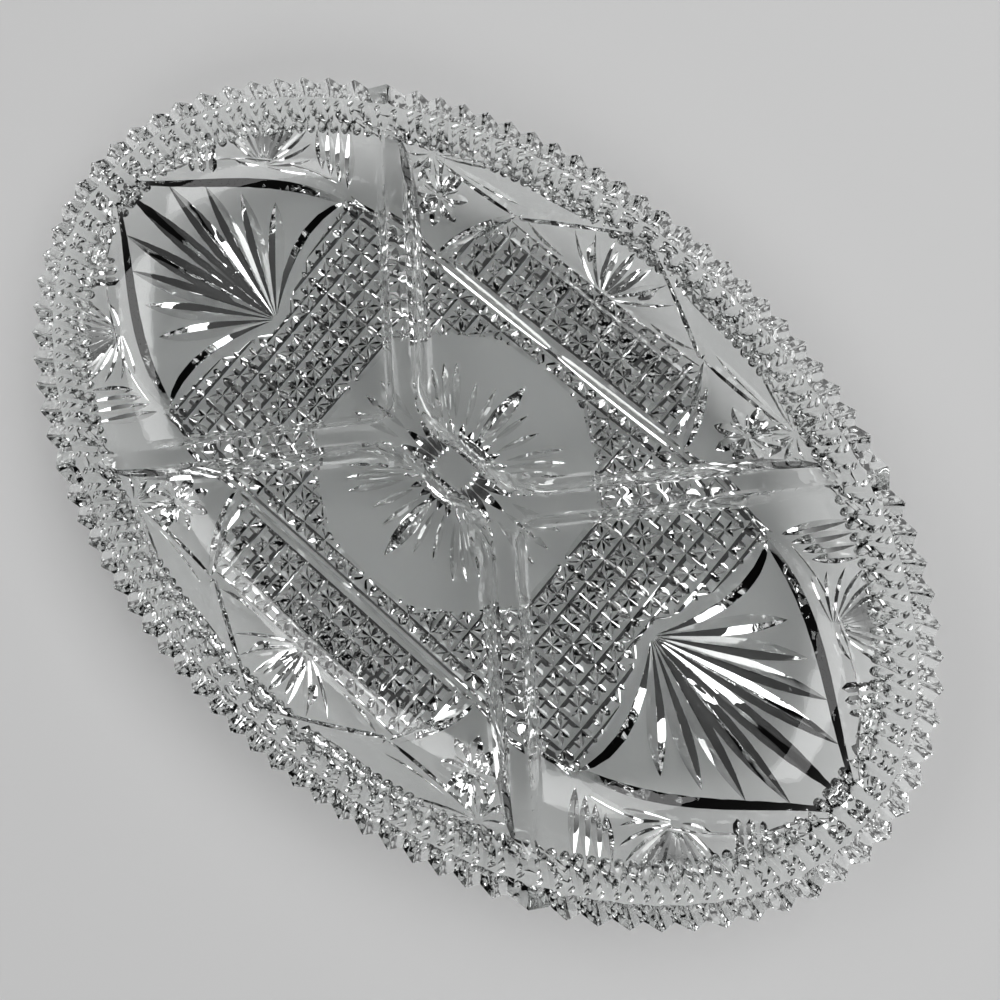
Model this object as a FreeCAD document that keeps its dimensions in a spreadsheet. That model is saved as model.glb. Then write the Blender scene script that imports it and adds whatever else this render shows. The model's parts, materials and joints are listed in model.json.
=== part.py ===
"""Oval pressed-glass relish tray with four compartments and a sawtooth rim.

The real tray is one pressing.  It is modelled as the regions that the mould forms:
a flat foot (four compartment floors and a centre pad), four dividers that spring from
a centre boss, four coved walls, and a rim of pointed teeth with a wide tooth over the
end of each divider.  The regions meet face to face.

Frame: origin at the middle of the foot, on the table.  +X runs along the tray,
+Y across it, +Z up.  All sizes are in millimetres and degrees.
"""
import FreeCAD, Part
import math
import os

V = FreeCAD.Vector
UP = V(0, 0, 1)

# ---------------------------------------------------------------- driving dimensions
SIZES = (
    ("tray_length", 305.0),      # over the points of the teeth
    ("tray_width", 201.0),
    ("tray_height", 34.0),
    ("foot_length", 214.0),      # flat underside that stands on the table
    ("foot_width", 130.0),
    ("floor_thick", 4.5),
    ("wall_thick", 4.5),         # horizontal, at the shoulder below the teeth
    ("wall_sweep", 68.0),        # how steep the cove has become at the shoulder
    ("shoulder_height", 26.0),   # top of the coved wall, where the teeth begin
    ("rim_flare", 2.8),          # how far the rim leans out above the shoulder
    ("tooth_depth", 2.2),        # from the points in to the notches
    ("tooth_height", 0.8),
    ("teeth_per_end", 23),       # small teeth between two divider teeth
    ("teeth_per_side", 23),
    ("divider_tooth", 1.5),      # width of the tooth over a divider, in small teeth
    ("divider_height", 24.0),    # from the table to the top of the ridge
    ("divider_base", 14.0),      # width of the ridge at the floor
    ("divider_top", 6.0),
    ("divider_angle", 46.8),     # between a divider and the long axis
    ("divider_root", 19.4),      # where the divider centre lines cross the long axis
    ("boss_width", 17.4),        # the boss across the tray, at the floor
    ("boss_reach", 13.0),        # along each divider, from its root
    ("boss_end_radius", 6.0),    # rounding between two dividers, end compartments
    ("boss_side_radius", 13.0),  # and the same in the side compartments
    ("pad_length", 60.0),        # centre pad of the foot, under the boss
    ("pad_width", 34.0),
    ("foot_seam", 3.0),          # the wall's share of the flat foot, all round
    ("mitre_width", 5.0),        # long V-shaped cuts under the end compartments
    ("ray_width", 4.4),          # rays of the end fans, at their widest
    ("border_width", 4.2),       # the cuts that frame the side fans
    ("cut_slope", 0.6),          # depth of a cut over half its width
)

# Middle lines of the main cuts in one quarter of the underside.  A point is given by its
# shares of the tray's half length and half width, so that the pattern follows the tray.
END_FAN = (0.534, 0.0)
END_CUTS = (
    ("mitre_width", ((0.590, 0.475), (0.780, 0.343), (0.965, 0.030))),
    ("mitre_width", ((0.542, 0.015), (0.600, 0.269), (0.590, 0.470))),
    ("ray_width", (END_FAN, (0.630, 0.160), (0.721, 0.320))),
    ("ray_width", (END_FAN, (0.665, 0.132), (0.793, 0.264))),
    ("ray_width", (END_FAN, (0.698, 0.100), (0.859, 0.199))),
    ("ray_width", (END_FAN, (0.725, 0.057), (0.911, 0.114))),
)
END_AXIS_CUT = ("ray_width", (END_FAN, (0.742, 0.0), (0.950, 0.0)))
SIDE_CUTS = (
    ("border_width", ((0.252, 0.796), (0.144, 0.883), (0.010, 0.940))),
    ("border_width", ((0.256, 0.796), (0.315, 0.667), (0.344, 0.532))),
)

doc = FreeCAD.newDocument("RelishTray")
sheet = doc.addObject("Spreadsheet::Sheet", "Dimensions")
for row, (alias, value) in enumerate(SIZES, start=1):
    sheet.set(f"A{row}", alias)
    sheet.set(f"B{row}", str(value))
    sheet.setAlias(f"B{row}", alias)
doc.recompute()


def size(alias):
    """The number in the sheet's cell of that name."""
    return float(sheet.get(alias))


def bind(item, **expressions):
    """Tie properties of a document object to cells of the sheet."""
    for name, expression in expressions.items():
        item.setExpression(name.replace("__", "."), expression)


# ---------------------------------------------------------------- shared geometry
CLEAR = 2.0 * size("tray_length")      # cutting tools reach well past the tray
SAME_POINT = 0.01
NEAR = 0.2                             # step over which the slope of a face is taken
HALVINGS = 24
COVE_STEPS = 8
ARC_JOINTS = (20, 110, 200, 290, 380)  # degrees; each level of the cove is four arcs
CUT_CLEAR = 0.6                        # how far a cutting bar stands out of the glass
CUT_STEPS = 5
END_SHARE = 0.05
END_LIFT = 0.35                        # lifts the ends of a bar out of the glass

CORNERS = ("back_right", "back_left", "front_left", "front_right")


def cove_ring(share, inside):
    """Half length, half width and height of the coved wall at a share of its sweep."""
    full = math.radians(size("wall_sweep"))
    reach = math.sin(share * full) / math.sin(full)
    climb = (1 - math.cos(share * full)) / (1 - math.cos(full))
    inset = size("tooth_depth") + size("rim_flare") + (size("wall_thick") if inside else 0.0)
    low = size("floor_thick") if inside else 0.0
    halves = []
    for foot, tray in (("foot_length", "tray_length"), ("foot_width", "tray_width")):
        halves.append(size(foot) / 2 + (size(tray) / 2 - inset - size(foot) / 2) * reach)
    return halves[0], halves[1], low + (size("shoulder_height") - low) * climb


def cove_solid(name, inside):
    """Everything inside the cove's outer or inner face, up to the shoulder."""
    sections = []
    for step in range(COVE_STEPS + 1):
        half_length, half_width, level = cove_ring(step / COVE_STEPS, inside)
        oval = Part.Ellipse(V(0, 0, level), half_length, half_width)
        joints = [math.radians(joint) for joint in ARC_JOINTS]
        sections.append(Part.Wire([oval.toShape(start, end) for start, end in zip(joints, joints[1:])]))
    solid = doc.addObject("Part::Feature", name)
    solid.Shape = Part.makeLoft(sections, True)
    return solid


def outside_level(x, y):
    """Height of the outer face over a point of the plan."""
    low, high = 0.0, 1.0
    if math.hypot(x / (size("foot_length") / 2), y / (size("foot_width") / 2)) <= 1:
        return 0.0
    for _ in range(HALVINGS):
        share = (low + high) / 2
        half_length, half_width, _level = cove_ring(share, inside=False)
        if math.hypot(x / half_length, y / half_width) > 1:
            low = share
        else:
            high = share
    return cove_ring(high, inside=False)[2]


def between_dividers(name, direction):
    """A prism between two divider centre lines, open towards the right or back compartment."""
    root = size("divider_root")
    slope = math.tan(math.radians(size("divider_angle")))
    far = V(root + CLEAR, slope * CLEAR, 0)
    if direction == "right":
        points = [V(root, 0, 0), far, V(far.x, -far.y, 0)]
    else:
        points = [V(-root, 0, 0), V(-far.x, far.y, 0), far, V(root, 0, 0)]
    prism = doc.addObject("Part::Feature", name)
    prism.Shape = Part.Face(Part.makePolygon(points + points[:1])).extrude(UP * CLEAR)
    return prism


def elliptic_slab(name, length, width):
    """A vertical-sided ellipse as thick as the floor, from sheet cells."""
    outline = doc.addObject("Part::Ellipse", f"{name}_outline")
    bind(outline, MajorRadius=length, MinorRadius=width)
    slab = doc.addObject("Part::Extrusion", name)
    slab.Base = outline
    slab.DirMode = "Custom"
    slab.Dir = UP
    slab.Solid = True
    bind(slab, LengthFwd="Dimensions.floor_thick")
    return slab


def combine(kind, name, base, tool):
    """A Part::Cut or Part::Common of two document objects."""
    result = doc.addObject(f"Part::{kind}", name)
    result.Base = base
    result.Tool = tool
    return result


# ---------------------------------------------------------------- foot and walls
outer_cove = cove_solid("outer_cove", inside=False)
inner_cove = cove_solid("inner_cove", inside=True)
foot = elliptic_slab(
    "foot",
    "Dimensions.foot_length / 2 - Dimensions.foot_seam",
    "Dimensions.foot_width / 2 - Dimensions.foot_seam",
)
bowl = combine("Cut", "bowl", outer_cove, inner_cove)
wall_ring = combine("Cut", "wall_ring", bowl, foot)
centre_pad = elliptic_slab("floor_centre", "Dimensions.pad_length / 2", "Dimensions.pad_width / 2")
foot_ring = combine("Cut", "foot_ring", foot, centre_pad)



def cut_section(spot, heading, half):
    """Triangle across a cut: one corner in the glass, two outside it."""
    slope_x = (outside_level(spot.x + NEAR, spot.y) - outside_level(spot.x - NEAR, spot.y)) / (2 * NEAR)
    slope_y = (outside_level(spot.x, spot.y + NEAR) - outside_level(spot.x, spot.y - NEAR)) / (2 * NEAR)
    out = V(slope_x, slope_y, -1).normalize()
    across = out.cross(heading).normalize()
    face = V(spot.x, spot.y, outside_level(spot.x, spot.y)) + out * CUT_CLEAR
    wide = half + CUT_CLEAR / size("cut_slope")
    points = [face - out * wide * size("cut_slope"), face + across * wide, face - across * wide]
    return Part.makePolygon(points + points[:1])


def cutter(width, path, side_x, side_y):
    """V-shaped bar under the outer face; it swells in the middle and closes at both ends."""
    half_length, half_width = size("tray_length") / 2, size("tray_width") / 2
    first, middle, last = (V(side_x * u * half_length, side_y * v * half_width, 0) for u, v in path)
    bend = middle * 2 - (first + last) * 0.5
    sections = []
    for step in range(CUT_STEPS + 1):
        share = step / CUT_STEPS
        spot = first * (1 - share) ** 2 + bend * (2 * share * (1 - share)) + last * share**2
        heading = (bend - first) * (1 - share) + (last - bend) * share
        half = size(width) / 2 * math.sin(math.pi * (END_SHARE + (1 - 2 * END_SHARE) * share))
        sections.append(cut_section(spot, heading, half - END_LIFT))
    return Part.makeLoft(sections, True)


def cutters(direction):
    """All the main cuts of the right or back compartment."""
    if direction == "right":
        mirrors = ((1, 1), (1, -1))
        cuts, axis_cuts = END_CUTS, [cutter(*END_AXIS_CUT, 1, 1)]
    else:
        mirrors = ((1, 1), (-1, 1))
        cuts, axis_cuts = SIDE_CUTS, []
    return axis_cuts + [cutter(width, path, *mirror) for width, path in cuts for mirror in mirrors]


def compartment(direction, opposite, across):
    """Floor and wall of a compartment, and of the one that mirrors it."""
    sector = between_dividers(f"sector_{direction}", direction)
    tools = cutters(direction)
    pieces = []
    for region, ring in (("floor", foot_ring), ("wall", wall_ring)):
        plain = combine("Common", f"plain_{region}_{direction}", ring, sector)
        doc.recompute()
        glass = plain.Shape
        for tool in tools:
            glass = glass.cut(tool)
        piece = doc.addObject("Part::Feature", f"{region}_{direction}")
        piece.Shape = glass
        twin = doc.addObject("Part::Mirroring", f"{region}_{opposite}")
        twin.Source = piece
        twin.Normal = across
        pieces += [piece, twin]
    return pieces


nodes = [centre_pad] + compartment("right", "left", V(1, 0, 0)) + compartment("back", "front", V(0, 1, 0))


# ---------------------------------------------------------------- dividers
def divider(corner, turn):
    """A tapered ridge from the boss to the wall; its foot follows floor and cove."""
    ridge = doc.addObject("Part::Wedge", f"ridge_{corner}")
    bind(
        ridge,
        Xmin="-Dimensions.divider_base / 2",
        Xmax="Dimensions.divider_base / 2",
        X2min="-Dimensions.divider_top / 2",
        X2max="Dimensions.divider_top / 2",
        Ymin="Dimensions.floor_thick",
        Ymax="Dimensions.divider_height",
        Zmin="Dimensions.boss_reach",
        Z2min="Dimensions.boss_reach",
        Zmax="Dimensions.tray_length / 2",
        Z2max="Dimensions.tray_length / 2",
    )
    side = 1 if corner.endswith("right") else -1
    # The wedge is drawn with its length along Z and its height along Y.
    lay_down = FreeCAD.Rotation(V(1, 1, 1), 120)
    at_root = V(side * size("divider_root"), 0, 0)
    ridge.Placement = FreeCAD.Placement(at_root, FreeCAD.Rotation(UP, turn) * lay_down)
    return combine("Common", f"divider_{corner}", ridge, inner_cove)


angle = size("divider_angle")
for corner, turn in zip(CORNERS, (angle, 180 - angle, 180 + angle, -angle)):
    nodes.append(divider(corner, turn))


def boss_outline(half_ridge, half_width, level):
    """Plan of the boss at one level: four divider faces, joined end to end."""
    lean = math.radians(size("divider_angle"))
    along = V(math.cos(lean), math.sin(lean), 0)
    across = V(-along.y, along.x, 0)
    root = V(size("divider_root"), 0, level)
    face = root + along * size("boss_reach")
    apex = root + V(half_ridge / along.y, 0, 0)
    bend = V(root.x - half_ridge / along.y + half_width * along.x / along.y, half_width, level)
    quarter = [face - across * half_ridge, face + across * half_ridge, bend]
    half = [apex] + quarter + [V(-point.x, point.y, level) for point in reversed(quarter)]
    return half + [V(-point.x, -point.y, level) for point in half]


def upright_edges(block, start):
    """Edges of the boss that rise from one corner of its outline."""
    def starts_here(edge):
        return any(start.distanceToPoint(end.Point) < SAME_POINT for end in edge.Vertexes)

    return [edge for edge in block.Edges if edge.BoundBox.ZLength > SAME_POINT and starts_here(edge)]


def boss():
    """The raised centre from which the four dividers spring, with hollow corners."""
    half_base, half_top = size("divider_base") / 2, size("divider_top") / 2
    half_boss = size("boss_width") / 2
    low = boss_outline(half_base, half_boss, size("floor_thick"))
    high = boss_outline(half_top, half_boss - half_base + half_top, size("divider_height"))
    outlines = [Part.makePolygon(points + points[:1]) for points in (low, high)]
    block = Part.makeLoft(outlines, True, True)
    corners_each_half = {0: "boss_end_radius", 3: "boss_side_radius", 4: "boss_side_radius"}
    for index, radius in corners_each_half.items():
        for start in (low[index], low[index + len(low) // 2]):
            block = block.makeFillet(size(radius), upright_edges(block, start))
    piece = doc.addObject("Part::Feature", "centre_boss")
    piece.Shape = block
    return piece


nodes.append(boss())


# ---------------------------------------------------------------- toothed rim
ARC_STEPS = 1440


def arc_lengths():
    """Length round the ellipse of the tooth points, at even steps of its angle."""
    half_length, half_width = size("tray_length") / 2, size("tray_width") / 2
    total, lengths = 0.0, [0.0]
    last = (half_length, 0.0)
    for step in range(1, ARC_STEPS + 1):
        turn = 2 * math.pi * step / ARC_STEPS
        here = (half_length * math.cos(turn), half_width * math.sin(turn))
        total += math.dist(last, here)
        lengths.append(total)
        last = here
    return lengths


LENGTHS = arc_lengths()
AROUND = LENGTHS[-1]


def angle_at(length):
    """Angle of the ellipse at a length round it from the +X end."""
    length %= AROUND
    step = max(1, next(index for index, reached in enumerate(LENGTHS) if reached >= length))
    share = (length - LENGTHS[step - 1]) / (LENGTHS[step] - LENGTHS[step - 1])
    return 2 * math.pi * (step - 1 + share) / ARC_STEPS


def divider_meets_rim():
    """Length round the rim, from the +X end, at which a divider points."""
    half_length, half_width = size("tray_length") / 2, size("tray_width") / 2
    root, slope = size("divider_root"), math.tan(math.radians(size("divider_angle")))
    square = 1 / half_length**2 + (slope / half_width) ** 2
    middle = root / half_length**2
    rest = (root / half_length) ** 2 - 1
    along = (-middle + math.sqrt(middle**2 - square * rest)) / square
    turn = math.atan2(slope * along / half_width, (root + along) / half_length)
    return LENGTHS[round(ARC_STEPS * turn / (2 * math.pi))]


def rim_section(turn, at_point):
    """Cross-section of the rim at one angle, through a tooth's point or a notch."""
    def ring(inset, level):
        x = (size("tray_length") / 2 - inset) * math.cos(turn)
        y = (size("tray_width") / 2 - inset) * math.sin(turn)
        return V(x, y, level)

    notch, shoulder, thick = size("tooth_depth"), size("shoulder_height"), size("wall_thick")
    top = size("tray_height") - (0.0 if at_point else size("tooth_height"))
    points = [
        ring(notch + size("rim_flare") + thick, shoulder),
        ring(notch + size("rim_flare"), shoulder),
        ring(0.0 if at_point else notch, top),
        ring(notch + thick, top),
    ]
    return Part.makePolygon(points + points[:1])


def rim_run(name, start, end, teeth):
    """Equal teeth between two lengths round the rim, from notch to notch."""
    half_pitch = (end - start) / teeth / 2
    halves = range(2 * teeth + 1)
    sections = [rim_section(angle_at(start + half_pitch * half), half % 2 == 1) for half in halves]
    piece = doc.addObject("Part::Feature", name)
    piece.Shape = Part.makeLoft(sections, True, True)
    return piece


def rim():
    """Four runs of small teeth and the four wide teeth over the dividers."""
    first = divider_meets_rim()
    corners = (first, AROUND / 2 - first, AROUND / 2 + first, AROUND - first, AROUND + first)
    end_teeth, side_teeth = int(size("teeth_per_end")), int(size("teeth_per_side"))
    small_teeth_round = 2 * (end_teeth + side_teeth) + 4 * size("divider_tooth")
    half_wide = size("divider_tooth") * AROUND / small_teeth_round / 2
    runs = (("back", side_teeth), ("left", end_teeth), ("front", side_teeth), ("right", end_teeth))
    pieces = []
    for index, (direction, teeth) in enumerate(runs):
        start, end = corners[index], corners[index + 1]
        pieces.append(rim_run(f"corner_tooth_{CORNERS[index]}", start - half_wide, start + half_wide, 1))
        pieces.append(rim_run(f"rim_{direction}", start + half_wide, end - half_wide, teeth))
    return pieces


nodes += rim()

# ---------------------------------------------------------------- checks and export
doc.recompute()
for item in doc.Objects:
    if "Invalid" in item.State or "Error" in item.State:
        raise RuntimeError(f"{item.Name} did not compute: {item.State}")
for node in nodes:
    if node.Shape.isNull() or not node.Shape.isValid() or len(node.Shape.Solids) != 1:
        raise RuntimeError(f"{node.Name} is not one valid solid")
    node.Label = node.Name

os.makedirs("parts", exist_ok=True)
for node in nodes:
    node.Shape.exportStep(f"parts/{node.Label}.step")
    box = node.Shape.BoundBox
    print(f"{node.Label:26s} volume {node.Shape.Volume:9.0f}  z {box.ZMin:6.2f} to {box.ZMax:6.2f}")
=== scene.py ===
# %% [markdown]
# # An oval glass relish tray
# The real tray is one pressing of clear glass: a polished plunger forms the smooth inside with its
# four compartments, and an engraved mould forms the pattern underneath and the pointed teeth of
# the rim.  Light shows glass by bending at its two faces, so the tray is built here as one closed
# mesh, with no inner faces where its regions meet.

# %% Load the frame
import json
import math
import bmesh
import bpy
from mathutils import Matrix, Vector

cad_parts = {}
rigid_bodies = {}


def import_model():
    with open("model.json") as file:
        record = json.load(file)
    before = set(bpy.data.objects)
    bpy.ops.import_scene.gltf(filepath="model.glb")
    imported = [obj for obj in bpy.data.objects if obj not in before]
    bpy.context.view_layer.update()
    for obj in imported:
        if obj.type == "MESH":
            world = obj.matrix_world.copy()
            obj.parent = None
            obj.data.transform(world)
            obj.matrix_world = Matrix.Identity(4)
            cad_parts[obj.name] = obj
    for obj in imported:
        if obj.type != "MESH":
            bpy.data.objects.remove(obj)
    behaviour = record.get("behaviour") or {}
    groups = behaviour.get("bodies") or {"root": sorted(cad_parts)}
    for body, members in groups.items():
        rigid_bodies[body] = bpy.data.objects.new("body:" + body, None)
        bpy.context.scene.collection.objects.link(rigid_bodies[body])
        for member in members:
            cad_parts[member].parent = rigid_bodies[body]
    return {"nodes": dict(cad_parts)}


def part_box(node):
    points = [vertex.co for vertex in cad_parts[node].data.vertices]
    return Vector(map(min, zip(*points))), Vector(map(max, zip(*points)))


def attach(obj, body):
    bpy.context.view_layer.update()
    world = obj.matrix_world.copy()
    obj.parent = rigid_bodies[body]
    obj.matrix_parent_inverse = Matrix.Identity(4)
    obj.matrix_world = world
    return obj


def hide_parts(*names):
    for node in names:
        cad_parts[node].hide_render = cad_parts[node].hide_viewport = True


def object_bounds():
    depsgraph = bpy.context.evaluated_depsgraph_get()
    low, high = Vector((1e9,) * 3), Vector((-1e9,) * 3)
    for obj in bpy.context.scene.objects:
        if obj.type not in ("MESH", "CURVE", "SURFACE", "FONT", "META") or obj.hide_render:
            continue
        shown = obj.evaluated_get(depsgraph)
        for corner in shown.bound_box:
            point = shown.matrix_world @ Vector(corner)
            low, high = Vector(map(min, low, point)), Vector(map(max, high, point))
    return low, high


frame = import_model()
cad_low, cad_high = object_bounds()
MM = 0.001

# %% [markdown]
# ## Sizes
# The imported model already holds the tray's real sizes, so they are read from its boxes.  The mesh
# is worked out in millimetres, like a mould drawing, and is scaled to metres when it is finished.

# %% Read the sizes from the frame


def corner(node):
    """Highest corner of a CAD node, in millimetres."""
    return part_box(node)[1] / MM


TIP_X, TIP_Y, HEIGHT = cad_high / MM
FLOOR = corner("floor_right").z
SHOULDER = corner("wall_right").z
RIDGE_TOP = corner("centre_boss").z
SHOULDER_X = corner("wall_right").x
SHOULDER_Y = corner("wall_back").y
FOOT_SEAM = 3.0
FOOT_X = corner("floor_right").x + FOOT_SEAM
FOOT_Y = corner("floor_back").y + FOOT_SEAM
WALL = 4.5
SWEEP = math.radians(68)  # slope of the wall at the shoulder
print(f"tray {2 * TIP_X:.1f} x {2 * TIP_Y:.1f} x {HEIGHT:.1f} mm")
print(f"foot {2 * FOOT_X:.1f} x {2 * FOOT_Y:.1f} mm")

# %% [markdown]
# ## Camera
# The photograph looks down on the middle of the tray from about 27 cm, turned so that the tray
# lies across the picture from the upper left to the lower right.

# %% Set the camera
CAMERA_AT = Vector((9.3, -0.6, 271.7)) * MM
CAMERA_AIM = Vector((-32.2, 8.9, 0.0)) * MM
UP_BEARING = math.radians(130.4)  # where the top of the picture points, from +X
FOCAL = 28.76
SENSOR = 36.0
SHIFT = (0.100, -0.110)
NEAREST = 0.01


def set_camera():
    """Place the camera at the photograph's viewing angle."""
    camera = bpy.data.objects.new("camera", bpy.data.cameras.new("camera"))
    bpy.context.scene.collection.objects.link(camera)
    forward = (CAMERA_AIM - CAMERA_AT).normalized()
    right = forward.cross(Vector((math.cos(UP_BEARING), math.sin(UP_BEARING), 0))).normalized()
    axes = Matrix((right, right.cross(forward), -forward)).transposed()
    camera.matrix_world = Matrix.Translation(CAMERA_AT) @ axes.to_4x4()
    camera.data.lens = FOCAL
    camera.data.sensor_width = SENSOR
    camera.data.shift_x, camera.data.shift_y = SHIFT
    camera.data.clip_start = NEAREST
    bpy.context.scene.camera = camera


set_camera()

# %% [markdown]
# ## The curve of the wall
# Floor and wall are one sweep: the floor is flat, and then rises in an arc that is steepest at the
# shoulder, just under the teeth.  Every level of it is an ellipse, so a share from 0 (foot) to 1
# (shoulder) gives the size and height of each ring, inside or outside.

# %% Shape the cove
LARGEST_SHARE = 1.3  # beyond the shoulder, so that it reaches past the teeth
HALVINGS = 24


def cove_ring(share, inside):
    """Half length, half width and height of the wall at a share of its sweep."""
    reach = math.sin(share * SWEEP) / math.sin(SWEEP)
    climb = (1 - math.cos(share * SWEEP)) / (1 - math.cos(SWEEP))
    thick = WALL if inside else 0.0
    low = FLOOR if inside else 0.0
    half_x = FOOT_X + (SHOULDER_X - thick - FOOT_X) * reach
    half_y = FOOT_Y + (SHOULDER_Y - thick - FOOT_Y) * reach
    return half_x, half_y, low + (SHOULDER - low) * climb


def cove_share(x, y, inside):
    """Share of the sweep whose ring passes over a point of the plan."""
    low, high = 0.0, LARGEST_SHARE
    if (x / FOOT_X) ** 2 + (y / FOOT_Y) ** 2 <= 1:
        return 0.0
    for _ in range(HALVINGS):
        middle = (low + high) / 2
        half_x, half_y, _height = cove_ring(middle, inside)
        if (x / half_x) ** 2 + (y / half_y) ** 2 > 1:
            low = middle
        else:
            high = middle
    return high


# %% [markdown]
# ## The inside
# The plunger that presses the inside leaves four ridges that spring from a long boss.  Their height
# is a function of the distance to the ridge's centre line.  Blending it softly with the floor and
# the wall gives the rounded feet and tops that pressed glass has.

# %% Height of the inside
RIDGE_ANGLE = math.radians(46.8)
RIDGE_ROOT = 19.4
RIDGE_HALF_TOP = 3.0
RIDGE_FLANK = 4.4  # width in plan of a ridge's side
RIDGE_SLOPE = (RIDGE_TOP - FLOOR) / RIDGE_FLANK
BOSS_EXTRA = 1.7
HOLLOW_END, HOLLOW_SIDE = 7.0, 9.0  # rounding where dividers meet, at the ends and the sides
SHOULDER_ROUND, FOOT_ROUND = 2.4, 3.4


def soft_max(a, b, blend):
    """The larger of two values, rounded where they are closer than the blend."""
    overlap = max(blend - abs(a - b), 0.0)
    return max(a, b) + overlap * overlap / (4 * blend)


def soft_min(a, b, blend):
    return -soft_max(-a, -b, blend)


def to_ridge(x, y):
    """Distance in plan to the nearest divider's centre line, softened at the boss."""
    out = (abs(x) - RIDGE_ROOT) * math.sin(RIDGE_ANGLE)
    up = abs(y) * math.cos(RIDGE_ANGLE)
    if up < out:
        return soft_min(out - up, out + up, HOLLOW_END)
    return soft_min(up - out, abs(y) - BOSS_EXTRA, HOLLOW_SIDE)


def inside_height(x, y):
    """Height of the polished inside over a point of the plan."""
    base = cove_ring(cove_share(x, y, inside=True), inside=True)[2]
    ridge = RIDGE_TOP - (to_ridge(x, y) - RIDGE_HALF_TOP) * RIDGE_SLOPE
    return soft_max(base, soft_min(RIDGE_TOP, ridge, SHOULDER_ROUND), FOOT_ROUND)


print(f"inside: floor {inside_height(70, 0):.1f}, boss {inside_height(0, 0):.1f} mm")

# %% [markdown]
# ## Teeth and columns
# The rim is a row of equal pointed teeth, with a wider one over the end of each divider.  Columns
# of the mesh run from the inside over every tooth and down the outside, six to a tooth, so that
# the points and the notches between them are crisp.

# %% Place the columns
TEETH_PER_RUN = 23
WIDE_TOOTH = 1.5  # width of the tooth over a divider, in teeth
TOOTH_DEPTH = 2.2
TOOTH_HEIGHT = 0.8
COLUMNS_PER_TOOTH = 6
ARC_STEPS = 2880


def arc_lengths():
    """Length round the ellipse of the points, at even steps of its angle."""
    lengths, last = [0.0], Vector((TIP_X, 0))
    for step in range(1, ARC_STEPS + 1):
        turn = math.tau * step / ARC_STEPS
        here = Vector((TIP_X * math.cos(turn), TIP_Y * math.sin(turn)))
        lengths.append(lengths[-1] + (here - last).length)
        last = here
    return lengths


LENGTHS = arc_lengths()
AROUND = LENGTHS[-1]


def angle_at(length):
    """Angle of the ellipse at a length round it from the +X end."""
    length %= AROUND
    low, high = 0, ARC_STEPS
    while high - low > 1:
        middle = (low + high) // 2
        low, high = (middle, high) if LENGTHS[middle] <= length else (low, middle)
    share = (length - LENGTHS[low]) / (LENGTHS[high] - LENGTHS[low])
    return math.tau * (low + share) / ARC_STEPS


def divider_length():
    """Length round the rim from the +X end to the line of the first divider."""
    def ahead(turn):
        x, y = TIP_X * math.cos(turn), TIP_Y * math.sin(turn)
        return y * math.cos(RIDGE_ANGLE) - (x - RIDGE_ROOT) * math.sin(RIDGE_ANGLE)

    step = next(step for step in range(ARC_STEPS) if ahead(math.tau * step / ARC_STEPS) > 0)
    return LENGTHS[step]


def place_columns():
    """Angle and share of a tooth (0 notch, 1 point) of every column, and the divider columns."""
    first = divider_length()
    corners = (first, AROUND / 2 - first, AROUND / 2 + first, AROUND - first, AROUND + first)
    half_wide = WIDE_TOOTH * AROUND / (4 * TEETH_PER_RUN + 4 * WIDE_TOOTH) / 2
    columns, dividers = [], []
    for start, end in zip(corners, corners[1:]):
        dividers.append(len(columns) + COLUMNS_PER_TOOTH // 2)
        wide_tooth = (start - half_wide, start + half_wide, 1)
        run = (start + half_wide, end - half_wide, TEETH_PER_RUN)
        for low, high, teeth in (wide_tooth, run):
            count = teeth * COLUMNS_PER_TOOTH
            for step in range(count):
                share = step / COLUMNS_PER_TOOTH % 1
                point = 1 - abs(2 * share - 1)
                columns.append((angle_at(low + (high - low) * step / count), point))
    return columns, dividers


COLUMNS, DIVIDER_COLUMNS = place_columns()
print(f"{len(COLUMNS)} columns round the rim, dividers at {DIVIDER_COLUMNS}")

# %% [markdown]
# ## The blank
# One ring of vertices at the shoulder is extruded up over the teeth and down the outside to the
# foot.  Each tooth goes on as a rib down the outer wall, and the flute between two ribs narrows and
# runs out below the shoulder.  The lines of the dividers then cut the inside into four loops, and
# each loop is extruded inwards, step by step, with every new vertex dropped to the height of the
# inside.  The steps are close together beside the dividers, where the inside bends most.

# %% Build the blank
NEAR_STEPS = (1.5, 2.4, 3.0, 3.5, 4.0, 4.6, 5.2, 5.8, 6.4, 7.0, 7.8, 9.0, 11.0)  # from the loop
FAR_STEPS = 10
LAST_SHARE = 0.86  # share of the way to a compartment's centre where its last face is laid
SMOOTHINGS = 6
UPPER_SHARES = [1.0, 0.965, 0.93, 0.90, 0.87, 0.84, 0.81, 0.78]
OUTSIDE_SHARES = UPPER_SHARES + [0.07 * step for step in range(10, -1, -1)]
FLUTE_FULL, FLUTE_END = 0.93, 0.78  # shares of the sweep where a flute starts to close and ends
RIDGE_SPACING = 2.5
BACK, LEFT, FRONT, RIGHT = Vector((0, 48)), Vector((-85, 0)), Vector((0, -48)), Vector((85, 0))


def on_ellipse(half_x, half_y, height, column):
    turn = COLUMNS[column][0]
    return Vector((half_x * math.cos(turn), half_y * math.sin(turn), height))


def grow(bm, edges, tag, place):
    """Extrude a loop of edges and put every new vertex in its place, known by its tag."""
    made = bmesh.ops.extrude_edge_only(bm, edges=edges)["geom"]
    verts = {part for part in made if isinstance(part, bmesh.types.BMVert)}
    for vert in verts:
        vert.co = place(vert[tag])
    return [part for part in made if isinstance(part, bmesh.types.BMEdge) and set(part.verts) <= verts]


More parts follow.
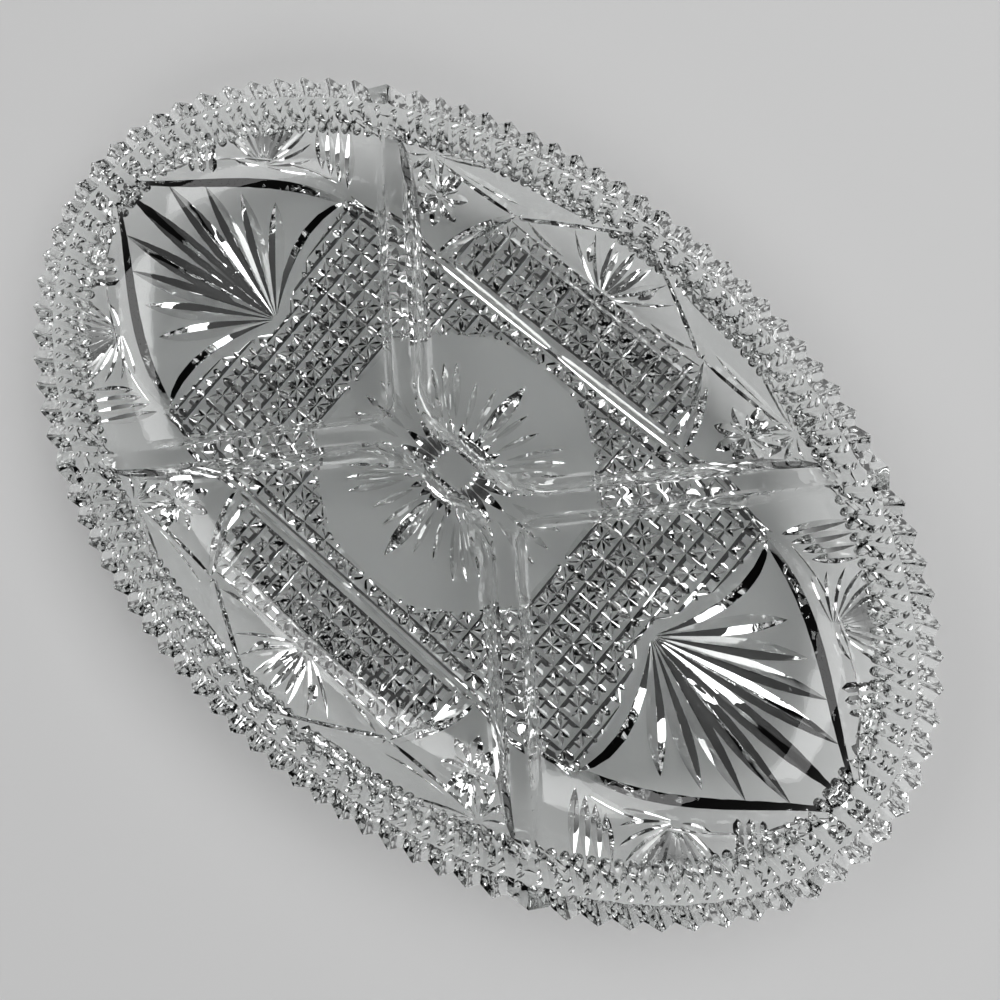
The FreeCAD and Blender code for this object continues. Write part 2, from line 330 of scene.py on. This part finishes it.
def rim_and_outside(bm, edges, tag):
    """Teeth, fluted outer wall and foot, from the inner shoulder."""
    def fluted(share, column):
        half_x, half_y, height = cove_ring(share, inside=False)
        lift = min(max((FLUTE_FULL - share) / (FLUTE_FULL - FLUTE_END), 0.0), 1.0)
        inset = max(TOOTH_DEPTH * (1 - COLUMNS[column][1] - lift), 0.0)
        return on_ellipse(half_x - inset, half_y - inset, height, column)

    def top(inset, column):
        height = HEIGHT - TOOTH_HEIGHT * (1 - COLUMNS[column][1])
        return on_ellipse(TIP_X - inset, TIP_Y - inset, height, column)

    edges = grow(bm, edges, tag, lambda column: top(TOOTH_DEPTH + WALL, column))
    edges = grow(bm, edges, tag, lambda column: top(TOOTH_DEPTH * (1 - COLUMNS[column][1]), column))
    for share in OUTSIDE_SHARES:
        edges = grow(bm, edges, tag, lambda column: fluted(share, column))
    return edges


def ridge_line(bm, start, end):
    """A chain of vertices and edges along a divider, from one vertex to another."""
    count = round((end.co - start.co).length / RIDGE_SPACING)
    chain = [start]
    for step in range(1, count):
        chain.append(bm.verts.new(start.co.lerp(end.co, step / count)))
    chain.append(end)
    for here, there in zip(chain, chain[1:]):
        bm.edges.new((here, there))
    return chain


def compartment_loops(bm, ring):
    """Closed list of vertices round each compartment, wall first."""
    right_root, left_root = (bm.verts.new((side * RIDGE_ROOT, 0, RIDGE_TOP)) for side in (1, -1))
    spine = ridge_line(bm, right_root, left_root)
    roots = (right_root, left_root, left_root, right_root)
    dividers = [ridge_line(bm, root, ring[column]) for root, column in zip(roots, DIVIDER_COLUMNS)]
    loops = []
    for first in range(4):
        last = (first + 1) % 4
        start, end = DIVIDER_COLUMNS[first], DIVIDER_COLUMNS[last]
        steps = (end - start) % len(ring)
        wall = [ring[(start + step) % len(ring)] for step in range(steps + 1)]
        across = {0: spine[::-1], 2: spine}.get(first, [roots[first]])
        loops.append(wall + dividers[last][-2::-1] + across[1:] + dividers[first][1:-1])
    for chain in [spine] + dividers:
        for vert in chain[1:-1]:
            vert.co.z = inside_height(vert.co.x, vert.co.y)
    return loops


def press_compartment(bm, loop, centre, tag):
    """Extrude a compartment's loop inwards and sink each step to the inside's height."""
    spots = [vert.co.xy.copy() for vert in loop]
    count = len(spots)
    shares = []
    for index in range(count):
        before, after = spots[index - 1], spots[(index + 1) % count]
        line = (after - before).normalized()
        ray = centre - spots[index]
        shares.append(1 / abs(line.x * ray.y - line.y * ray.x))
    for _ in range(SMOOTHINGS):
        shares = [(shares[i - 1] + 2 * shares[i] + shares[(i + 1) % count]) / 4 for i in range(count)]
    for index, vert in enumerate(loop):
        vert[tag] = index
    edges = [bm.edges.get((loop[index - 1], loop[index])) for index in range(count)]
    near_steps = [(reach, 0.0) for reach in NEAR_STEPS]
    far_steps = [(NEAR_STEPS[-1], far / FAR_STEPS) for far in range(1, FAR_STEPS + 1)]
    for reach, far in near_steps + far_steps:
        def place(index):
            share = reach * shares[index]
            share += (LAST_SHARE - share) * far
            spot = spots[index].lerp(centre, share)
            return Vector((spot.x, spot.y, inside_height(spot.x, spot.y)))

        edges = grow(bm, edges, tag, place)
    bmesh.ops.contextual_create(bm, geom=edges)


def build_blank():
    """The tray before its pattern is cut, as one closed mesh in millimetres."""
    bm = bmesh.new()
    tag = bm.verts.layers.int.new("place")
    ring = bmesh.ops.create_circle(bm, segments=len(COLUMNS), radius=1)["verts"]
    inner = cove_ring(1.0, inside=True)
    for column, vert in enumerate(ring):
        vert[tag] = column
        vert.co = on_ellipse(*inner, column)
        vert.co.z = inside_height(vert.co.x, vert.co.y)
    foot_edges = rim_and_outside(bm, list(bm.edges), tag)
    bmesh.ops.contextual_create(bm, geom=foot_edges)
    for loop, centre in zip(compartment_loops(bm, ring), (BACK, LEFT, FRONT, RIGHT)):
        press_compartment(bm, loop, centre, tag)
    bmesh.ops.recalc_face_normals(bm, faces=bm.faces)
    open_edges = sum(not edge.is_manifold for edge in bm.edges)
    millilitres = bm.calc_volume() / 1000
    print(f"blank: {len(bm.faces)} faces, {open_edges} open edges, {millilitres:.0f} ml of glass")
    return bm


blank = build_blank()

# %% [markdown]
# ## One groove
# The mould's pattern is made of V-shaped grooves: leaves, rays and long mitre cuts.  A groove is
# made here as a cutter, a three-sided bar that follows the outer face along a line of the plan.  It
# swells from one pointed end and closes at the other, so its depth follows its width, as it does
# under a cutting wheel.

# %% Make one cutter
CUT_SLOPE = 0.9  # depth of a cut over half its width
CUT_CLEAR = 0.6  # height of the cutter's flat side above the glass
TIP = 0.1  # how far a cut's pointed ends are lifted out of the glass
SECTION_SPACING = 5
FEWEST_SECTIONS = 6
SLOPE_STEP = 0.2  # distance over which the slope of the outer face is taken

cutters = bpy.data.collections.new("cutters")
bpy.context.scene.collection.children.link(cutters)


def outside_level(x, y):
    """Height of the outer face over a point of the plan, on the wall or on the leaning rim."""
    half_x, _half_y, height = cove_ring(cove_share(x, y, inside=False), inside=False)
    if height > SHOULDER:
        return SHOULDER + (half_x - SHOULDER_X) * (HEIGHT - SHOULDER) / (TIP_X - SHOULDER_X)
    return height


def outside_face(spot):
    """Point of the outer face over a point of the plan, and the direction out of the glass."""
    step = SLOPE_STEP
    rise_x = outside_level(spot.x + step, spot.y) - outside_level(spot.x - step, spot.y)
    rise_y = outside_level(spot.x, spot.y + step) - outside_level(spot.x, spot.y - step)
    out = Vector((rise_x / (2 * step), rise_y / (2 * step), -1)).normalized()
    return Vector((spot.x, spot.y, outside_level(spot.x, spot.y))), out


def groove(path, width, widest=0.5, blunt=0.8, slope=CUT_SLOPE):
    """Cutter along two plan points, or three that it bends through.

    It is widest at a share of its length, and a small blunt keeps it nearly even in width.
    """
    first, last = Vector(path[0]), Vector(path[-1])
    bend = 2 * Vector(path[1]) - (first + last) / 2 if len(path) == 3 else (first + last) / 2
    bm = bmesh.new()
    tag = bm.verts.layers.int.new("place")
    section = bmesh.ops.create_circle(bm, segments=3, radius=1)["verts"]
    for index, vert in enumerate(section):
        vert[tag] = index
    count = max(FEWEST_SECTIONS, round((last - first).length / SECTION_SPACING))
    edges = list(bm.edges)
    for step in range(count + 1):
        share = 0.5 - 0.5 * math.cos(math.pi * step / count)
        spot = (1 - share) ** 2 * first + 2 * share * (1 - share) * bend + share**2 * last
        heading = (1 - share) * (bend - first) + share * (last - bend)
        point, out = outside_face(spot)
        along = Vector((heading.x, heading.y, 0))
        along -= along.dot(out) * out
        across = out.cross(along).normalized()
        swell = share / widest if share < widest else (1 - share) / (1 - widest)
        half = (width / 2 + TIP) * math.sin(swell * math.pi / 2) ** blunt - TIP
        reach = half + CUT_CLEAR / slope
        lifted = point + CUT_CLEAR * out
        corners = (point - half * slope * out, lifted + reach * across, lifted - reach * across)
        if step == 0:
            for vert, corner_spot in zip(section, corners):
                vert.co = corner_spot
        else:
            edges = grow(bm, edges, tag, lambda index: corners[index])
    bmesh.ops.holes_fill(bm, edges=[edge for edge in bm.edges if edge.is_boundary], sides=3)
    bmesh.ops.recalc_face_normals(bm, faces=bm.faces)
    mesh = bpy.data.meshes.new("cutter")
    bm.to_mesh(mesh)
    bm.free()
    cutters.objects.link(bpy.data.objects.new("cutter", mesh))


ALL_FOUR = ((1, 1), (-1, 1), (-1, -1), (1, -1))
BOTH_ENDS = ((1, 1), (-1, 1))
BOTH_SIDES = ((1, 1), (1, -1))


def grooves(paths, width, places=ALL_FOUR, **shape):
    """The same grooves in every part of the tray that mirrors them."""
    for side_x, side_y in places:
        for path in paths:
            groove([(side_x * x, side_y * y) for x, y in path], width, **shape)


def rays(origin, tips, gap):
    """Straight paths that leave a gap round an origin and end at the tips."""
    start = Vector(origin)
    return [(start + (Vector(tip) - start).normalized() * gap, tip) for tip in tips]


def round_tips(origin, radius, bearings):
    """Points on a circle, at bearings in degrees from +X."""
    x, y = origin
    turns = [math.radians(bearing) for bearing in bearings]
    return [(x + radius * math.cos(turn), y + radius * math.sin(turn)) for turn in turns]


# %% [markdown]
# ## The centre
# Under the boss a star of 24 deep rays leaves a plain disc, with longer rays towards the ends.  Its
# sides are steep enough to mirror the light, so it shows bold through the boss, while the leaves
# that reach out of it into the compartments are shallow and faint.  A plain round field of 45 mm
# radius lies between the star and the hobnail cuts.

# %% Cut the centre star
MIDDLE = (0, 0)
FIELD = 45.0
DISC = 5.8
STAR_REACH, STAR_EXTRA = 14.5, 6.5
LEAF_SLOPE = 0.78
for bearing in range(0, 360, 15):
    reach = STAR_REACH + STAR_EXTRA * math.cos(math.radians(bearing)) ** 2
    ray = rays(MIDDLE, round_tips(MIDDLE, reach, (bearing,)), DISC)
    grooves(ray, 3.0, ((1, 1),), widest=0.45, slope=1.0)
grooves([((0, 11), (0, 37))], 6.0, BOTH_SIDES, slope=0.85)
grooves(rays(MIDDLE, round_tips(MIDDLE, 37, (37, 44, 51)), 17), 2.8, widest=0.6, slope=LEAF_SLOPE)
grooves(rays(MIDDLE, round_tips(MIDDLE, 40, (0, 10)), 21), 3.0, widest=0.6, slope=LEAF_SLOPE)
grooves(rays(MIDDLE, round_tips(MIDDLE, 31, (64, 77)), 15), 2.4, widest=0.5, slope=LEAF_SLOPE)

# %% [markdown]
# ## The hobnail fields
# Lines 4.6 mm apart cross in two directions, and every second one is wider, so that four pyramids
# stand together in a square.  Diagonal lines through the crossings split them into triangles.  A
# line is walked over the whole tray, and a groove is cut wherever it runs inside a field.

# %% Cut the hobnail fields
PITCH = 4.6
WIDE_CUT, FINE_CUT, DIAGONAL_CUT = 3.8, 2.3, 2.0
SHORTEST_CUT = 5
LAST_LINE = 19  # lines on each side of the middle
LINE_REACH = 150
END_FAN = (81.5, 0)
END_FIELD_SIDE = 51.5
SIDE_FIELD_INNER, SIDE_FIELD_OUTER = 53.2, 78.5


def fan_edge(y):
    """Where the hobnail field ends at the curved cut beside the end fan."""
    return END_FAN[0] + 11.5 * math.sin(min(abs(y) / 42, 1) * math.pi / 2) - 2.5


def side_edge(y):
    """Where the side field ends at the curved cut from its corner."""
    return 38 + 14 * math.sqrt(max(0.0, (81 - abs(y)) / 26)) - 2


def in_end_field(x, y):
    return x * x + y * y > (FIELD + 1) ** 2 and abs(y) < END_FIELD_SIDE and abs(x) < fan_edge(y)


def in_side_field(x, y):
    return SIDE_FIELD_INNER < abs(y) < SIDE_FIELD_OUTER and abs(x) < side_edge(y)


def field_line(start, heading, width):
    """Grooves along the parts of a line that lie inside one of the fields."""
    run = []
    for step in range(-LINE_REACH, LINE_REACH + 1):
        spot = start + heading * step
        if in_end_field(*spot) or in_side_field(*spot):
            run.append(spot)
            continue
        if len(run) > SHORTEST_CUT:
            groove([run[0], run[-1]], width, blunt=0.25)
        run = []


def hobnail_fields():
    along_x, along_y = Vector((1, 0)), Vector((0, 1))
    for index in range(-LAST_LINE, LAST_LINE + 1):
        width = WIDE_CUT if index % 2 == 0 else FINE_CUT
        field_line(index * PITCH * along_x, along_y, width)
        field_line(index * PITCH * along_y, along_x, width)
        if index % 2 == 0:
            field_line(index * PITCH * along_x, Vector((1, 1)).normalized(), DIAGONAL_CUT)
            field_line(index * PITCH * along_x, Vector((1, -1)).normalized(), DIAGONAL_CUT)


hobnail_fields()

# %% [markdown]
# ## The end fans
# At each end a fan of broad rays springs from the tip of the hobnail field.  Two curved cuts part
# it from the field, and two long mitre cuts run from its corners to the rim.

# %% Cut the end fans
END_STAR = (146.5, 0)
grooves(rays(END_FAN, ((110, 32), (121, 26.5), (131, 20), (139, 11.5)), 1), 6.0, widest=0.66)
grooves(rays(END_FAN, ((145, 0),), 1), 6.0, BOTH_ENDS, widest=0.66)
grooves([((82.5, 1.5), (91.5, 27), (90, 47.5))], 7.4, widest=0.6, blunt=0.6, slope=0.8)
grooves([((90, 48), (119, 34.5), (148, 1.5))], 8.0, widest=0.45, blunt=0.35, slope=0.7)
grooves([((96, 51), (124, 37.5), (149, 6))], 1.6, blunt=0.3)
grooves(rays(END_STAR, round_tips(END_STAR, 4.5, range(0, 360, 45)), 0.8), 1.8, BOTH_ENDS)

# %% [markdown]
# ## The side fans
# Smaller fans spring from the middle of each long side, between two curved border cuts, with a
# leaf at their foot.

# %% Cut the side fans
SIDE_FAN = (0, 76.4)
grooves(rays(SIDE_FAN, ((7.5, 91.5), (14.5, 90.5), (20.5, 87.5)), 1), 3.4, widest=0.62)
grooves(rays(SIDE_FAN, ((0, 92),), 1), 3.4, BOTH_SIDES, widest=0.62)
grooves([((3.8, 80), (4.6, 90)), ((10, 82), (13, 88)), ((18, 79.5), (35, 81))], 3.6, widest=0.5)
grooves([((38.5, 80), (22, 88.7), (1, 95.8))], 5.4, blunt=0.3)
grooves([((6, 94.6), (24, 92.6), (42, 90))], 2.4)
grooves([((8, 93.4), (24, 90.6), (39, 88))], 2.4)

# %% [markdown]
# ## The corners
# Under the outer end of each divider, cuts part the hobnail field from a flower of eight petals,
# and meet in a small star on the wall with long rays.

# %% Cut the flowers and the corner stars
FLOWER = (64.8, 69.7)
CORNER_STAR = (73.6, 77.3)
grooves([((38.5, 80.3), (56, 79.2), (73, 77.5))], 4.2, blunt=0.4)
grooves([((39, 80), (48, 67), (52.5, 53.5))], 4.6, blunt=0.4)
grooves([((52.5, 53), (72, 51.5), (90, 48))], 4.0, blunt=0.3)
grooves([((1, 52.2), (26, 52.6), (52, 53))], 3.2, blunt=0.3, slope=0.62)
grooves(rays(FLOWER, round_tips(FLOWER, 10.5, range(20, 380, 45)), 0.6), 4.4, widest=0.58)
grooves(rays(FLOWER, round_tips(FLOWER, 7, range(42, 402, 45)), 0.6), 1.8, widest=0.6)
grooves(rays(CORNER_STAR, ((47, 90.5), (50, 87.3), (39.5, 83.2), (57, 84.5)), 2), 3.0, widest=0.6)
grooves(rays(CORNER_STAR, round_tips(CORNER_STAR, 9, range(0, 360, 30)), 1.0), 2.4)
grooves(rays((106.5, 67.1), ((82.5, 75.4), (84, 72.5), (86, 78)), 1), 2.6, widest=0.5)

# %% [markdown]
# ## The walls of the end compartments
# Between the long mitre cuts and the dividers the wall carries a fan, with parallel leaves on
# either side of it, and a spray of thin cuts that meets its mirror image at the end of the tray.

# %% Cut the wall fans and leaves
WALL_FAN = (119.5, 38.5)
WALL_TIPS = ((106, 47), (107.5, 51), (109.5, 55), (112, 57.5), (115.3, 57.6), (118.6, 56.2), (121.7, 54),
             (124.8, 51.3), (127.7, 48.3), (130.5, 45), (133, 41.5), (135, 38), (128, 33.5))
grooves(rays(WALL_FAN, WALL_TIPS, 1.0), 3.0, widest=0.62)
grooves([((92 + 3.6 * leaf, 51.5 - 0.2 * leaf), (100.5 + 3.0 * leaf, 66 - 2.2 * leaf))
         for leaf in range(4)], 3.5)
grooves([((129 + 3.2 * leaf, 21.5 - 0.8 * leaf), (135.5 + 2.2 * leaf, 33.5 - 3.2 * leaf))
         for leaf in range(3)], 3.2)
grooves([((141.5, 31), (148.6, 4)), ((138.2, 30), (148, 3.6)), ((135.4, 27), (147.4, 3))], 2.6)

# %% [markdown]
# ## The beaded band
# Every face of the ribs under the teeth carries short deep cuts, one above another on the wall and
# the leaning rim.  Seen through the inside they are rows of bright beads, two to a tooth.

# %% Cut the beads
BEAD_ROWS = ((0.78, 0.89), (0.88, 0.97), (0.96, 1.05), (1.04, 1.12))  # shares of the sweep
BEAD_WIDTH = 4.0


def bead_places():
    """Angles of the middle of every rib face, two to a tooth."""
    half = COLUMNS_PER_TOOTH // 2
    turns = [turn for turn, _point in COLUMNS]
    for first in range(0, len(turns), half):
        last = turns[(first + half) % len(turns)]
        yield turns[first] + ((last - turns[first]) % math.tau) / 2


for turn in bead_places():
    for row in BEAD_ROWS:
        rings = [cove_ring(share, inside=False) for share in row]
        path = [(half_x * math.cos(turn), half_y * math.sin(turn)) for half_x, half_y, _height in rings]
        groove(path, BEAD_WIDTH, blunt=0.45, slope=1.0)

# %% [markdown]
# ## Pressing the pattern
# A Boolean modifier takes every cutter out of the blank at once.  Its Manifold solver keeps the
# result closed, which clear glass needs: light has to find a way out of every face that it enters.

# %% Cut the pattern out of the blank


def carve(bm):
    """The glass mesh in metres, after the cutters have been taken out of the blank."""
    uncut = bpy.data.meshes.new("blank")
    bm.to_mesh(uncut)
    tray = bpy.data.objects.new("glass_tray", uncut)
    bpy.context.scene.collection.objects.link(tray)
    cuts = tray.modifiers.new("pattern", "BOOLEAN")
    cuts.operation = "DIFFERENCE"
    cuts.operand_type = "COLLECTION"
    cuts.collection = cutters
    cuts.solver = "MANIFOLD"
    shown = tray.evaluated_get(bpy.context.evaluated_depsgraph_get())
    tray.data = bpy.data.meshes.new_from_object(shown)
    tray.modifiers.clear()
    for cutter in list(cutters.objects):
        bpy.data.meshes.remove(cutter.data)
    bpy.data.collections.remove(cutters)
    tray.data.transform(Matrix.Scale(MM, 4))
    return tray


glass_tray = carve(blank)
check = bmesh.new()
check.from_mesh(glass_tray.data)
open_edges = sum(not edge.is_manifold for edge in check.edges)
triangles = sum(len(face.verts) - 2 for face in check.faces)
millilitres = check.calc_volume() / MM**3 / 1000
print(f"glass: {triangles} triangles, {open_edges} open edges, {millilitres:.0f} ml of glass")
check.free()

# %% [markdown]
# ## Clear glass
# The faces of the cuts are flat and meet in crisp edges, while the polished inside is one smooth
# sweep.  Edges sharper than a set angle are marked, and everything else is shaded smooth.  Pressed
# glass cools against iron, which leaves shallow ripples on it, so a faint noise bends its normals,
# and thick glass looks slightly green.

# %% Shade and finish the glass
CRISP = math.radians(18)
GLASS_IOR = 1.54
GLASS_TINT = (0.975, 0.99, 0.983)
RIPPLES_PER_METRE = 130
RIPPLE_HEIGHT = 0.35
RIPPLE_STRENGTH = 0.3


def clear_glass():
    material = bpy.data.materials.new("clear_glass")
    material.use_nodes = True
    nodes, links = material.node_tree.nodes, material.node_tree.links
    shader = nodes["Principled BSDF"]
    shader.inputs["Transmission Weight"].default_value = 1.0
    shader.inputs["Roughness"].default_value = 0.0
    shader.inputs["IOR"].default_value = GLASS_IOR
    shader.inputs["Base Color"].default_value = (*GLASS_TINT, 1)
    place = nodes.new("ShaderNodeTexCoord")
    ripple = nodes.new("ShaderNodeTexNoise")
    ripple.inputs["Scale"].default_value = RIPPLES_PER_METRE
    ripple.inputs["Detail"].default_value = 1.0
    bump = nodes.new("ShaderNodeBump")
    bump.inputs["Strength"].default_value = RIPPLE_STRENGTH
    bump.inputs["Distance"].default_value = RIPPLE_HEIGHT * MM
    links.new(place.outputs["Object"], ripple.inputs["Vector"])
    links.new(ripple.outputs["Fac"], bump.inputs["Height"])
    links.new(bump.outputs["Normal"], shader.inputs["Normal"])
    return material


glass_tray.data.shade_smooth()
glass_tray.data.set_sharp_from_angle(angle=CRISP)
glass_tray.data.materials.clear()
glass_tray.data.materials.append(clear_glass())
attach(glass_tray, "root")
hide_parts(*frame["nodes"])

# %% [markdown]
# ## Floor and light
# Clear glass has no colour of its own: it shows its surroundings, bent and mirrored.  So the studio
# has softboxes above a pale floor, and a sky with a pale band above the horizon and a darker
# ceiling.  The cuts then show as bright and dark lines, as they do in a room with windows.

# %% Add the floor
FLOOR_TONE = 0.72
FLOOR_ROUGHNESS = 0.7
FLOOR_REACH = 3.0
FLOOR_GAP = 0.0003  # keeps the glass foot and the floor from sharing a plane


def pale_floor():
    material = bpy.data.materials.new("pale_floor")
    material.use_nodes = True
    shader = material.node_tree.nodes["Principled BSDF"]
    shader.inputs["Base Color"].default_value = (FLOOR_TONE, FLOOR_TONE, FLOOR_TONE, 1)
    shader.inputs["Roughness"].default_value = FLOOR_ROUGHNESS
    return material


table = bmesh.new()
bmesh.ops.create_grid(table, x_segments=1, y_segments=1, size=FLOOR_REACH)
bmesh.ops.translate(table, vec=(0, 0, -FLOOR_GAP), verts=table.verts)
floor_mesh = bpy.data.meshes.new("floor")
table.to_mesh(floor_mesh)
table.free()
floor_mesh.materials.append(pale_floor())
floor = bpy.data.objects.new("floor", floor_mesh)
bpy.context.scene.collection.objects.link(floor)

# %% Add the softboxes
LIGHT_DISTANCE = 1.6


def softbox(name, bearing, elevation, wide, high, power):
    """An area lamp that looks at the tray from a bearing and an elevation in degrees."""
    light = bpy.data.lights.new(name, "AREA")
    light.shape = "RECTANGLE"
    light.size, light.size_y = wide, high
    light.energy = power
    turn, rise = math.radians(bearing), math.radians(elevation)
    level = LIGHT_DISTANCE * math.cos(rise)
    at = Vector((level * math.cos(turn), level * math.sin(turn), LIGHT_DISTANCE * math.sin(rise)))
    holder = bpy.data.objects.new(name, light)
    holder.matrix_world = Matrix.Translation(at) @ (-at).to_track_quat("-Z", "Y").to_matrix().to_4x4()
    bpy.context.scene.collection.objects.link(holder)


softbox("key_softbox", 75, 55, 2.0, 0.8, 14)
softbox("left_softbox", 200, 45, 1.4, 0.6, 6)
softbox("right_softbox", 320, 45, 1.4, 0.6, 6)

# %% Light the sky
SKY_TONES = ((0.0, 0.7), (0.12, 0.7), (0.2, 0.3), (0.5, 0.12), (1.0, 0.04))  # height, tone


def studio_sky():
    """A pale band above the horizon and a darker ceiling, from the height of each direction."""
    sky = bpy.data.worlds.new("studio_sky")
    sky.use_nodes = True
    nodes, links = sky.node_tree.nodes, sky.node_tree.links
    direction = nodes.new("ShaderNodeTexCoord")
    height = nodes.new("ShaderNodeSeparateXYZ")
    ramp = nodes.new("ShaderNodeValToRGB")
    while len(ramp.color_ramp.elements) < len(SKY_TONES):
        ramp.color_ramp.elements.new(0.5)
    for stop, (position, tone) in zip(ramp.color_ramp.elements, SKY_TONES):
        stop.position = position
        stop.color = (tone, tone, tone, 1)
    links.new(direction.outputs["Generated"], height.inputs["Vector"])
    links.new(height.outputs["Z"], ramp.inputs["Fac"])
    links.new(ramp.outputs["Color"], nodes["Background"].inputs["Color"])
    return sky


bpy.context.scene.world = studio_sky()
bpy.context.scene.view_settings.view_transform = "Standard"
